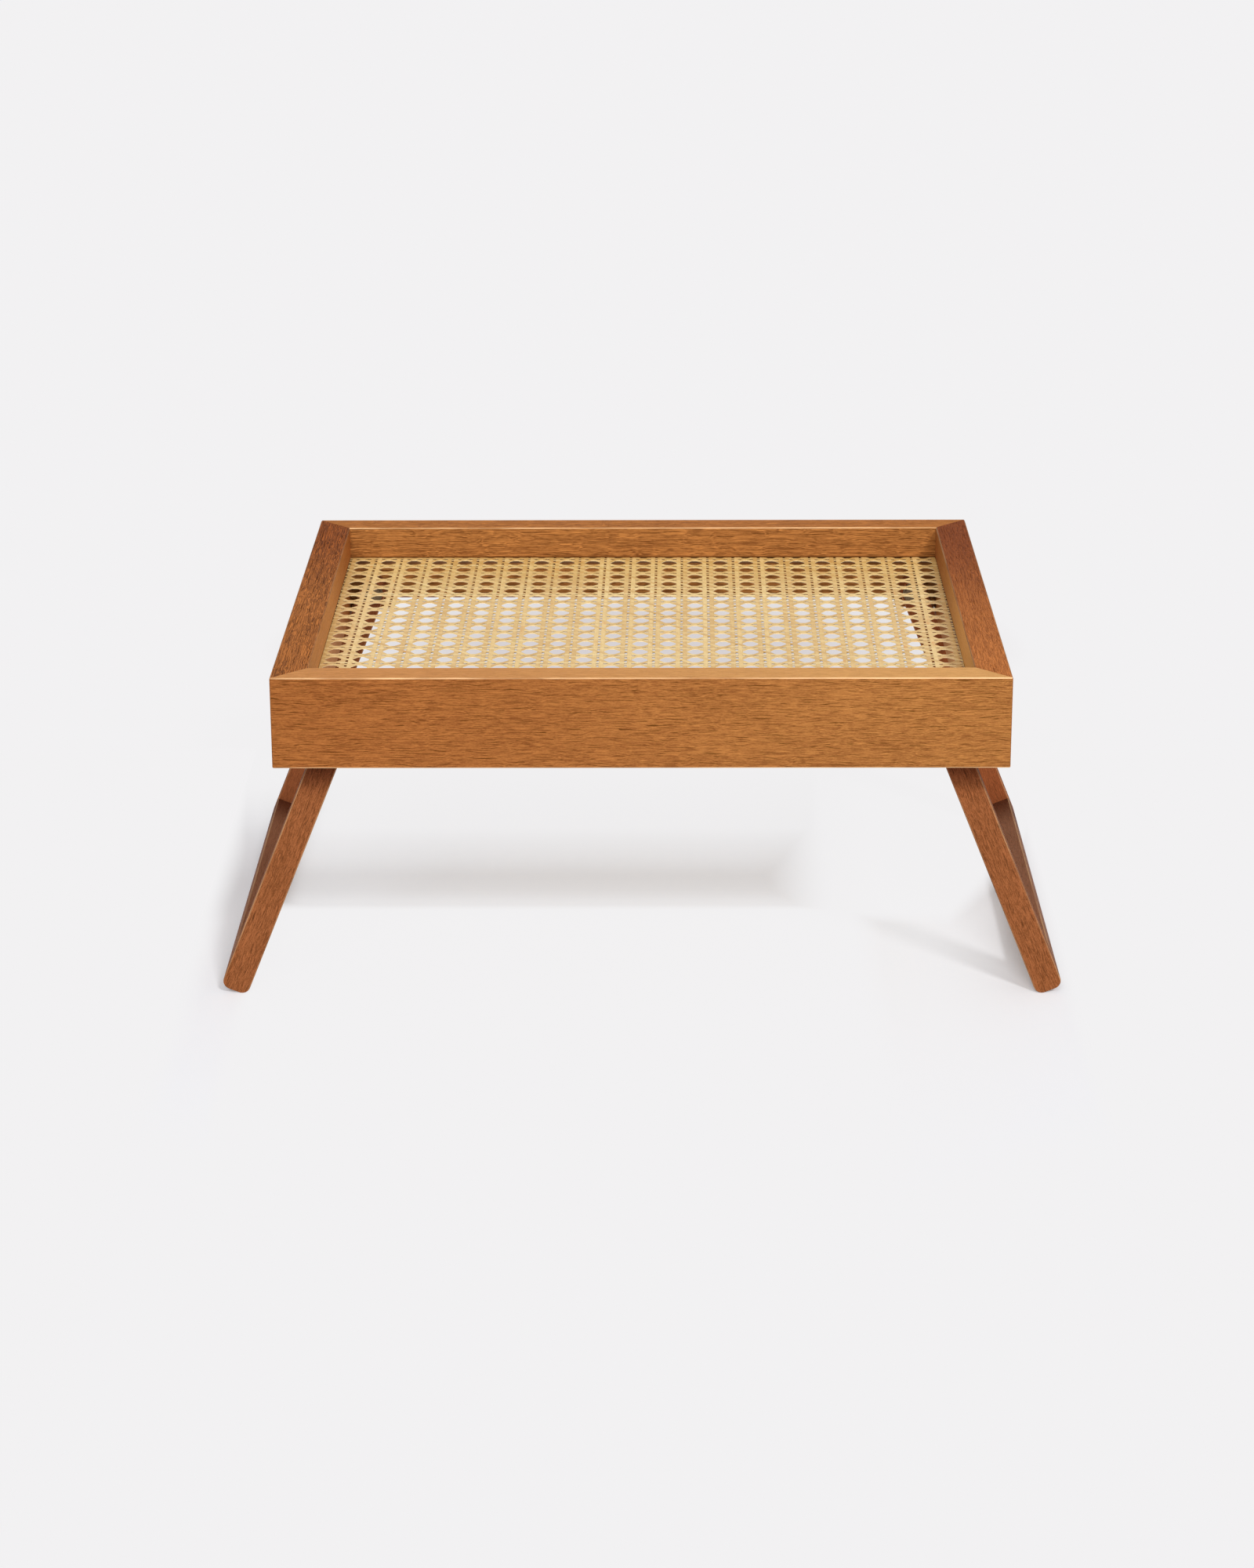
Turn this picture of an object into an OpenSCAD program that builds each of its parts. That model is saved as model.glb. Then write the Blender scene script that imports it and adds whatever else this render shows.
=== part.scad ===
// Folding breakfast tray with a woven cane floor.
// Four mitred rails frame the cane. A U-shaped leg frame at each end turns on two
// shoulder bolts inside the front and rear rails, leans on the end rail when it is
// open, and folds flat under the cane.
// The front faces -Y, and the tray stands on z = 0.

/* [Tray] */
// Width of the tray across its end rails
tray_w = 500; // [490:1:600]
// Depth of the tray from front to rear
tray_d = 415; // [360:1:480]
// Height of the rails
rail_h = 64; // [58:0.5:80]
// Thickness of the rails
rail_t = 24; // [22:0.5:28]
// Depth of the well from the rim down to the cane
well_depth = 23.7; // [18:0.1:27]
// Width of the small bevel along the arrises
arris = 0.8; // [0.4:0.1:1.2]
// Depth of the relief in the lower edge of the rear rail
relief_depth = 8.4; // [6:0.1:10]
// Radius of the corners of the relief
relief_r = 5; // [2:0.5:6]
// Distance from each pivot to the end of the relief
relief_inset = 12; // [9:0.5:30]

/* [Cane] */
// Thickness of the cane webbing
cane_t = 1.6; // [1.2:0.1:2]
// Depth of the groove that holds the cane in the rails
groove_depth = 8; // [6:0.5:9]
// Height of the spline that wedges the cane into its groove
spline_h = 3; // [2:0.1:4]
// How much thinner the cane is pressed in its groove
cane_press = 0.2; // [0.1:0.1:0.4]
// Gap around the cane and its splines in the groove
groove_gap = 0.1; // [0.05:0.05:0.2]
// Columns of holes in the webbing
cane_cols = 17; // [11:2:17]
// Rows of holes in the webbing
cane_rows = 14; // [10:2:14]
// Width of the woven bars between the holes
cane_bar = 13; // [10:0.5:16]
// Share of a hole's side that each cut corner takes
corner_cut = 0.27; // [0.2:0.01:0.35]

/* [Corner joints] */
// Thickness of the loose tongues in the mitres
tongue_t = 4; // [3:0.5:5]
// Width of the tongues across the mitres
tongue_w = 12; // [8:0.5:13]
// Wood left above and below a tongue
tongue_cover = 10; // [6:1:16]
// Gap for glue around a tongue
glue_gap = 0.1; // [0.05:0.05:0.2]

/* [Leg frames] */
// Width of the legs, seen from the front
leg_w = 19.5; // [17:0.5:23]
// Thickness of the legs from front to rear
leg_t = 19.5; // [15:0.5:24]
// Length of a leg from its pivot to the end of its foot
leg_reach = 205.3; // [150:0.1:206.5]
// Outward lean of an open leg in degrees
leg_splay = 22; // [12:1:28]
// Height of the pivots above the underside of the rails
pivot_up = 18; // [12:0.5:19]
// Radius of the rounded corners of the feet
foot_r = 6; // [3:0.5:8]
// Height of a foot rail, measured along the legs
foot_rail_h = 21; // [17:0.5:30]
// Gap between an open leg and the edge of the end rail that it leans on
stop_gap = 0.3; // [0.1:0.1:1]

/* [Dowels] */
// Diameter of the dowels that join a leg to its foot rail
dowel_d = 6; // [5:0.5:7]
// Length of a dowel inside the leg
dowel_in_leg = 12; // [8:0.5:13]
// Length of a dowel inside the foot rail
dowel_in_rail = 16; // [10:1:24]
// Distance between the two dowels of a joint
dowel_pitch = 9; // [8:0.5:9.5]
// Room left for glue past each end of a dowel
dowel_end_gap = 0.8; // [0.4:0.1:0.9]

/* [Pivots] */
// Diameter of the shoulder that a leg turns on
shoulder_d = 8; // [7:0.5:10]
// Diameter of the bolt's threaded end
thread_d = 6; // [4:0.5:6.5]
// Length of the bolt's threaded end
thread_l = 12; // [8:0.5:12.5]
// Outer diameter of the threaded insert in the rail
insert_d = 10; // [8.5:0.5:13]
// Length of the threaded insert
insert_l = 13; // [12.5:0.5:18]
// Outer diameter of the washers
washer_d = 16; // [14:0.5:18]
// Thickness of the spacer washer between a leg and its rail
spacer_t = 1.8; // [1:0.1:3]
// Thickness of the washer under the bolt's head
head_washer_t = 1.2; // [0.8:0.1:2]
// Diameter of the bolt's head
head_d = 13; // [11:0.5:14]
// Height of the bolt's head
head_h = 4; // [3:0.5:6]
// Width of the hexagon socket across its corners
socket_d = 5.8; // [4.5:0.1:7]
// Depth of the hexagon socket
socket_depth = 2.4; // [1.5:0.1:2.6]
// Radial clearance of what turns or seats on a round pin
pin_clearance = 0.05; // [0.02:0.01:0.1]
// Play along the bolt on each face of a leg
leg_play = 0.1; // [0.05:0.05:0.3]

/* [Hidden] */

$fn = 64;

// How far a cutting shape runs past the face that it cuts
past = 1;

rail_colour = "#b2713a";
leg_colour = "#a3602f";
hidden_wood_colour = "#d2a878";
cane_colour = "#e8cb8c";
spline_colour = "#c79a5b";
steel_colour = "#b8bbbf";
brass_colour = "#c5a14a";

// The well inside the rails
well_w = tray_w - 2 * rail_t;
well_d = tray_d - 2 * rail_t;

// Heights, counted up from the feet
pivot_z = (leg_reach - foot_r) * cos(leg_splay) + (leg_w / 2 - foot_r) * sin(leg_splay) + foot_r;
rail_z = pivot_z - pivot_up;
rim_z = rail_z + rail_h;
cane_z = rim_z - well_depth;

// The groove, measured up from the underside of a rail
cane_edge_t = cane_t - cane_press;
groove_h = cane_edge_t + spline_h + 3 * groove_gap;
groove_low = rail_h - well_depth - cane_press + groove_gap - groove_h;
cane_edge = groove_depth - groove_gap;

// The pivots stand where an open leg just leans on the lower edge of its end rail
pivot_x = well_w / 2 - tan(leg_splay) * (pivot_up - arris) - (leg_w / 2 + stop_gap) / cos(leg_splay);

// Distances from the inner face of the rail, along a pivot bolt
leg_near = spacer_t + leg_play;
leg_far = leg_near + leg_t;
shoulder_l = leg_far + leg_play + head_washer_t;

// Half the free length of a foot rail
foot_rail_half = well_d / 2 - leg_far;

// A rectangle with its four corners bevelled
module bevelled_rectangle(w, h) {
    polygon([
        [arris, 0], [w - arris, 0], [w, arris], [w, h - arris],
        [w - arris, h], [arris, h], [0, h - arris], [0, arris]
    ]);
}

// Turns a flat outline upright, so that it faces the front and runs towards the rear
module upright(length) {
    translate([0, length, 0]) rotate([90, 0, 0]) linear_extrude(length) children();
}

// Puts a piece made for the front left corner at any corner
module at_corner(right, rear) {
    mirror_if(right, [1, 0, 0]) mirror_if(rear, [0, 1, 0]) children();
}

module mirror_if(wanted, normal) {
    if (wanted) mirror(normal) children();
    else children();
}

// The frame of one leg: its origin is the pivot and the leg hangs along -Z
module on_left_leg(y) {
    translate([-pivot_x, y, pivot_z]) rotate([0, leg_splay, 0]) children();
}

// The axis of a front left pivot: its origin is on the rail and +Z runs into the tray
module on_pivot() {
    translate([-pivot_x, -well_d / 2, pivot_z]) rotate([-90, 0, 0]) children();
}

// A loose tongue in the front left mitre of a tray of the given width and depth
module corner_tongue_at(width, depth, gap) {
    inset = (rail_t - groove_depth) / 2;
    translate([-width / 2 + inset, -depth / 2 + inset, rail_z + tongue_cover - gap])
        rotate([0, 0, 45])
            translate([-tongue_t / 2 - gap, -tongue_w / 2 - gap, 0])
                cube([tongue_t + 2 * gap, tongue_w + 2 * gap, rail_h - 2 * tongue_cover + 2 * gap]);
}

// The front rail of a tray of the given width and depth, mitred at both ends
module mitred_rail(width, depth) {
    difference() {
        intersection() {
            translate([-width / 2, -depth / 2, rail_z])
                rotate([90, 0, 90])
                    linear_extrude(width)
                        difference() {
                            bevelled_rectangle(rail_t, rail_h);
                            translate([rail_t - groove_depth, groove_low])
                                square([groove_depth + past, groove_h]);
                        }
            translate([0, 0, rail_z - past])
                linear_extrude(rail_h + 2 * past)
                    polygon([
                        [-width / 2 + arris, -depth / 2],
                        [width / 2 - arris, -depth / 2],
                        [width / 2 - arris / 2, -depth / 2 + arris / 2],
                        [width / 2 - rail_t, -depth / 2 + rail_t],
                        [-width / 2 + rail_t, -depth / 2 + rail_t],
                        [-width / 2 + arris / 2, -depth / 2 + arris / 2]
                    ]);
        }
        corner_tongue_at(width, depth, glue_gap);
        mirror([1, 0, 0]) corner_tongue_at(width, depth, glue_gap);
    }
}

// The relief between the legs, drawn on the line of the rails' underside
module relief_outline() {
    half = pivot_x - relief_inset;
    translate([-half, -past]) square([2 * half, past + relief_depth - relief_r]);
    translate([-half + relief_r, 0]) square([2 * half - 2 * relief_r, relief_depth]);
    for (side = [-1, 1])
        translate([side * (half - relief_r), relief_depth - relief_r]) circle(r = relief_r);
}

// The front and rear rails, drilled from inside for the pivot inserts
module long_rail(rear) {
    color(rail_colour) mirror_if(rear, [0, 1, 0]) difference() {
        mitred_rail(tray_w, tray_d);
        for (right = [false, true])
            at_corner(right, false) on_pivot()
                translate([0, 0, -insert_l - past])
                    cylinder(h = insert_l + 2 * past, d = insert_d + 2 * pin_clearance);
        if (rear)
            translate([0, -tray_d / 2 - past, rail_z]) upright(rail_t + 2 * past) relief_outline();
    }
}

// The left and right rails
module end_rail(right) {
    color(rail_colour) mirror_if(right, [1, 0, 0]) rotate([0, 0, -90]) mitred_rail(tray_d, tray_w);
}

// A plywood tongue glued into a mitre
module corner_tongue(right, rear) {
    color(hidden_wood_colour) at_corner(right, rear) corner_tongue_at(tray_w, tray_d, 0);
}

// One eight-sided hole of the webbing
module cane_hole(w, d) {
    x = w / 2;
    y = d / 2;
    cut_x = w * corner_cut;
    cut_y = d * corner_cut;
    polygon([
        [-x + cut_x, -y], [x - cut_x, -y], [x, -y + cut_y], [x, y - cut_y],
        [x - cut_x, y], [-x + cut_x, y], [-x, y - cut_y], [-x, -y + cut_y]
    ]);
}

// The woven cane sheet, with its edges pressed into the grooves of the rails
module cane_webbing() {
    pitch_x = well_w / cane_cols;
    pitch_y = well_d / cane_rows;
    color(cane_colour) translate([0, 0, cane_z - cane_t]) difference() {
        linear_extrude(cane_t)
            difference() {
                square([well_w + 2 * cane_edge, well_d + 2 * cane_edge], center = true);
                for (column = [0 : cane_cols - 1], row = [0 : cane_rows - 1])
                    translate([
                        (column - (cane_cols - 1) / 2) * pitch_x,
                        (row - (cane_rows - 1) / 2) * pitch_y
                    ])
                        cane_hole(pitch_x - cane_bar, pitch_y - cane_bar);
            }
        translate([0, 0, cane_edge_t])
            linear_extrude(cane_t)
                difference() {
                    square([tray_w, tray_d], center = true);
                    square([well_w - 2 * groove_gap, well_d - 2 * groove_gap], center = true);
                }
    }
}

// The mitred spline under the front edge of the cane, for a well of the given size
module cane_spline_at(width, depth) {
    translate([0, 0, cane_z - cane_t - groove_gap - spline_h])
        linear_extrude(spline_h)
            polygon([
                [-width / 2, -depth / 2],
                [width / 2, -depth / 2],
                [width / 2 + cane_edge, -depth / 2 - cane_edge],
                [-width / 2 - cane_edge, -depth / 2 - cane_edge]
            ]);
}

module long_cane_spline(rear) {
    color(spline_colour) mirror_if(rear, [0, 1, 0]) cane_spline_at(well_w, well_d);
}

module end_cane_spline(right) {
    color(spline_colour) mirror_if(right, [1, 0, 0]) rotate([0, 0, -90]) cane_spline_at(well_d, well_w);
}

// A threaded brass insert, flush with the inner face of the rail
module pivot_insert(right, rear) {
    color(brass_colour) at_corner(right, rear) on_pivot()
        translate([0, 0, -insert_l])
            difference() {
                cylinder(h = insert_l, d = insert_d);
                translate([0, 0, -past])
                    cylinder(h = insert_l + 2 * past, d = thread_d + 2 * pin_clearance);
            }
}

// A shoulder bolt, driven through the leg from inside the tray
module pivot_bolt(right, rear) {
    color(steel_colour) at_corner(right, rear) on_pivot() {
        difference() {
            union() {
                translate([0, 0, -thread_l]) cylinder(h = thread_l, d = thread_d);
                cylinder(h = shoulder_l, d = shoulder_d);
                translate([0, 0, shoulder_l]) cylinder(h = head_h, d = head_d);
            }
            translate([0, 0, shoulder_l + head_h - socket_depth])
                cylinder(h = socket_depth + past, d = socket_d, $fn = 6);
        }
    }
}

// A flat washer on the bolt's shoulder
module washer(thickness) {
    difference() {
        cylinder(h = thickness, d = washer_d);
        translate([0, 0, -past])
            cylinder(h = thickness + 2 * past, d = shoulder_d + 2 * pin_clearance);
    }
}

// The washer that keeps a leg clear of its rail
module spacer_washer(right, rear) {
    color(steel_colour) at_corner(right, rear) on_pivot() washer(spacer_t);
}

// The washer between a leg and the head of its bolt
module head_washer(right, rear) {
    color(steel_colour) at_corner(right, rear) on_pivot()
        translate([0, 0, leg_far + leg_play]) washer(head_washer_t);
}

// The rounded lower end of a leg or a foot rail, standing on y = 0
module foot_outline(height) {
    translate([-leg_w / 2, foot_r]) square([leg_w, height - foot_r]);
    translate([-leg_w / 2 + foot_r, 0]) square([leg_w - 2 * foot_r, foot_r]);
    for (side = [-1, 1])
        translate([side * (leg_w / 2 - foot_r), foot_r]) circle(r = foot_r);
}

// The two dowels of a foot joint, or their holes, on the front end of a foot rail
module dowel_pair(gap, end_gap) {
    for (side = [-1, 1])
        translate([0, -dowel_in_leg - end_gap, -leg_reach + foot_rail_h / 2 + side * dowel_pitch / 2])
            rotate([-90, 0, 0])
                cylinder(h = dowel_in_leg + dowel_in_rail + 2 * end_gap, d = dowel_d + 2 * gap);
}

// A leg, round at the pivot and at the corners of its foot
module leg(right, rear) {
    color(leg_colour) at_corner(right, rear) difference() {
        on_left_leg(-well_d / 2 + leg_near) intersection() {
            upright(leg_t) {
                translate([0, -leg_reach]) foot_outline(leg_reach);
                circle(d = leg_w);
            }
            translate([-leg_w / 2, 0, -leg_reach - past])
                linear_extrude(leg_reach + leg_w + past)
                    bevelled_rectangle(leg_w, leg_t);
        }
        on_pivot() translate([0, 0, leg_near - past])
            cylinder(h = leg_t + 2 * past, d = shoulder_d + 2 * pin_clearance);
        on_left_leg(-foot_rail_half) dowel_pair(pin_clearance, dowel_end_gap);
    }
}

// The rail that joins the two feet of a leg frame
module foot_rail(right) {
    color(leg_colour) mirror_if(right, [1, 0, 0]) difference() {
        on_left_leg(-foot_rail_half) translate([0, 0, -leg_reach]) upright(2 * foot_rail_half)
            intersection() {
                foot_outline(foot_rail_h);
                translate([-leg_w / 2, -foot_rail_h])
                    bevelled_rectangle(leg_w, 2 * foot_rail_h);
            }
        for (rear = [false, true])
            mirror_if(rear, [0, 1, 0])
                on_left_leg(-foot_rail_half) dowel_pair(pin_clearance, dowel_end_gap);
    }
}

// The beech dowels between a leg and its foot rail
module foot_dowels(right, rear) {
    color(hidden_wood_colour) at_corner(right, rear)
        on_left_leg(-foot_rail_half) dowel_pair(0, 0);
}

long_rail(false);  // front_rail
long_rail(true);  // rear_rail
end_rail(false);  // left_rail
end_rail(true);  // right_rail
corner_tongue(false, false);  // front_left_corner_tongue
corner_tongue(true, false);  // front_right_corner_tongue
corner_tongue(false, true);  // rear_left_corner_tongue
corner_tongue(true, true);  // rear_right_corner_tongue
cane_webbing();
long_cane_spline(false);  // front_cane_spline
long_cane_spline(true);  // rear_cane_spline
end_cane_spline(false);  // left_cane_spline
end_cane_spline(true);  // right_cane_spline
pivot_insert(false, false);  // front_left_pivot_insert
pivot_insert(true, false);  // front_right_pivot_insert
pivot_insert(false, true);  // rear_left_pivot_insert
pivot_insert(true, true);  // rear_right_pivot_insert
pivot_bolt(false, false);  // front_left_pivot_bolt
pivot_bolt(true, false);  // front_right_pivot_bolt
pivot_bolt(false, true);  // rear_left_pivot_bolt
pivot_bolt(true, true);  // rear_right_pivot_bolt
spacer_washer(false, false);  // front_left_spacer_washer
spacer_washer(true, false);  // front_right_spacer_washer
spacer_washer(false, true);  // rear_left_spacer_washer
spacer_washer(true, true);  // rear_right_spacer_washer
head_washer(false, false);  // front_left_head_washer
head_washer(true, false);  // front_right_head_washer
head_washer(false, true);  // rear_left_head_washer
head_washer(true, true);  // rear_right_head_washer
leg(false, false);  // left_front_leg
leg(false, true);  // left_rear_leg
foot_rail(false);  // left_foot_rail
foot_dowels(false, false);  // left_front_foot_dowels
foot_dowels(false, true);  // left_rear_foot_dowels
leg(true, false);  // right_front_leg
leg(true, true);  // right_rear_leg
foot_rail(true);  // right_foot_rail
foot_dowels(true, false);  // right_front_foot_dowels
foot_dowels(true, true);  // right_rear_foot_dowels
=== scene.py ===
import math
import random

import bmesh
import bpy
from mathutils import Matrix, Vector


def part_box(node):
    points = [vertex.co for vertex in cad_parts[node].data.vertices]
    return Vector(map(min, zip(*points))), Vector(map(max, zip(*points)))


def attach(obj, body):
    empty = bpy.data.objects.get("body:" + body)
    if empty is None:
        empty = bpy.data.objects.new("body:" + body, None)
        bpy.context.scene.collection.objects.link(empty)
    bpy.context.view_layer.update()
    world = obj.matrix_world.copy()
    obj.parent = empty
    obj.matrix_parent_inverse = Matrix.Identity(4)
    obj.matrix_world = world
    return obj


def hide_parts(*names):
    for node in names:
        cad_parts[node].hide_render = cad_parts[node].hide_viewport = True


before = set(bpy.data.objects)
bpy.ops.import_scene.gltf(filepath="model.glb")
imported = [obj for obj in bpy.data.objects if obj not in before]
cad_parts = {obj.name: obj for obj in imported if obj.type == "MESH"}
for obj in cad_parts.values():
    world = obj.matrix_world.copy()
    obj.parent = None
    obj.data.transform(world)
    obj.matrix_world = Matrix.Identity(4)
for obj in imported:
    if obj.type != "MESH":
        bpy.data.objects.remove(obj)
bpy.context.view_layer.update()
scene = bpy.context.scene
random.seed(14)

MM = 0.001

# Camera, as fitted to the tray's corners in a frame of 1600 by 2000
LENS = 85.21
SENSOR = 36
CAMERA_PLACE = (0.00999, -2.5886, 0.9766)
CAMERA_YAW = math.radians(-0.471)
CAMERA_PITCH = math.radians(18.865)
CAMERA_ROLL = math.radians(-0.193)

# Legs lean outwards by this much when they are open
LEG_SPLAY = math.radians(22)

# Oak, in metres. Growth bands 5 mm apart and rows of pores 1 mm apart cross a board's section
# at a slant, and this is the way across them.
ACROSS_BANDS = (0.0, 0.8, 0.75)
BAND_PITCH = 0.005
PORE_ROW_PITCH = 0.0011
# The rails' faces towards the cane lie nearer to the tray's middle than this, bevels included
WELL_REACH_X = 0.2268
WELL_REACH_Y = 0.1843
# The painted shade line along the cane: its middle's height above the floor, and half its width
LINE_HEIGHT = 0.2147
LINE_HALF = 0.0009
# Heights between which painted shade sets in towards the pivots, just under the tray
UNDER_TRAY_SHADE_HEIGHTS = (0.14, 0.168)

# Woven cane, in millimetres. The weave repeats every pitch, from the hole at the left rear.
PITCH = 19.65
FIRST_HOLE = (-215.5, 169.8)
HOLE_COLUMNS = 23
HOLE_ROWS = 19
# It lies a little askew: its shift to the right for each millimetre towards the front, and
# its shift to the rear for each millimetre to the right
SKEW_ACROSS = -0.008
SKEW_ALONG = -0.007
# Two strands lie side by side in a pair, and pairs run lengthwise and crosswise
PAIR_GAP = 1.8
# The painted shade of a pair's narrow gap reaches this far past the gap
GAP_MARGIN = 0.25
LENGTHWISE_WIDTH = 3.25
CROSSWISE_WIDTH = 2.9
DIAGONAL_WIDTH = 3.2
STRAND_THICKNESS = 0.28
# A strand's edges lie this much lower than its middle
STRAND_CROWN = 0.03
# How far strands rise and sink where they cross
PAIR_RISE = 0.05
DIAGONAL_RISE = 0.1
# A higher value takes a diagonal strand more steeply from one side of the weave to the other
DIAGONAL_STEEPNESS = 2.4
# Sideways swing of a diagonal strand where the pairs pinch it
DIAGONAL_SWAY = 0.3
# A diagonal strand is this many times as long as the weave is wide
DIAGONAL_REACH = 1.35
# Each strand lies a little off its place, and bends to the sides over this length
STRAND_WANDER = 0.12
WANDER_LENGTH = 41
# The weave's middle lies this much below the cane's top
WEAVE_DEPTH = 0.31
# Steps of a strand's mesh in one pitch
PAIR_STEPS = 8
DIAGONAL_STEPS = 12
# How deep the CAD webbing's edge and the strands' ends lie in the grooves of the rails
WEBBING_TUCK = 7.9
STRAND_TUCK = 7

# Floor, in metres. The tray's middle is at 0, x runs to the right and y to the rear.
FLOOR_HALF = 40
# Depth over which the shadow's shares are spread
SHADOW_DEPTH = 1.25
# Right of this the shadow's right side slants to the rear, by so much for each metre
SLANT_START = 0.225
SLANT = 2.5
# The painted shadow on the floor behind the tray is an ellipse
PAINTED_SHADOW_HALF_WIDTH = 0.35
PAINTED_SHADOW_HALF_DEPTH = 0.25
PAINTED_SHADOW_MIDDLE = 0.66


def linear(hex_colour):
    """A colour written in sRGB hex, as the linear values that a shader wants."""
    values = []
    for start in (1, 3, 5):
        v = int(hex_colour[start:start + 2], 16) / 255
        values.append(v / 12.92 if v <= 0.04045 else ((v + 0.055) / 1.055) ** 2.4)
    return (*values, 1)


def grey(value):
    return (value, value, value, 1)


def new_material(name):
    material = bpy.data.materials.new(name)
    material.use_nodes = True
    material.node_tree.nodes.clear()
    return material


def add(material, kind, settings=None, links=None, stops=()):
    """Adds one node. settings are its properties, and stops a ramp's places and colours.

    links are its sockets' values or what feeds them: a socket, or a node's first output.
    """
    tree = material.node_tree
    node = tree.nodes.new(kind)
    for name, value in (settings or {}).items():
        setattr(node, name, value)
    for name, value in (links or {}).items():
        if isinstance(value, bpy.types.Node):
            value = value.outputs[0]
        if isinstance(value, bpy.types.NodeSocket):
            tree.links.new(value, node.inputs[name])
        else:
            node.inputs[name].default_value = value
    if stops:
        elements = node.color_ramp.elements
        while len(elements) < len(stops):
            elements.new(0.5)
        for element, (place, colour) in zip(elements, stops):
            element.position = place
            element.color = colour
    return node


def piece_places(material, turn):
    """Places on a piece in metres: as the frame has them, and turned so that grain runs along x."""
    place = add(material, "ShaderNodeTexCoord")
    along = add(material, "ShaderNodeMapping", {}, {
        "Vector": place.outputs["Object"], "Rotation": turn,
    })
    return place, along


def grain(material, places, size, detail, offset=(0, 0, 0)):
    """Noise from 0 to 1 whose grains have the given sizes in metres along x, y and z."""
    stretched = add(material, "ShaderNodeMapping", {}, {
        "Vector": places,
        "Location": offset,
        "Scale": [1 / s for s in size],
    })
    noise = add(material, "ShaderNodeTexNoise", {}, {
        "Vector": stretched, "Scale": 1.0, "Detail": detail,
    })
    return noise.outputs["Fac"]


def seen_rays(material):
    """1 where a ray leads to the eye, also by way of a mirror or through glass, else 0."""
    ray = add(material, "ShaderNodeLightPath")
    mirrored = add(material, "ShaderNodeMath", {"operation": "MAXIMUM"}, {
        0: ray.outputs["Is Camera Ray"], 1: ray.outputs["Is Glossy Ray"],
    })
    return add(material, "ShaderNodeMath", {"operation": "MAXIMUM"}, {
        0: mirrored, 1: ray.outputs["Is Transmission Ray"],
    })


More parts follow.
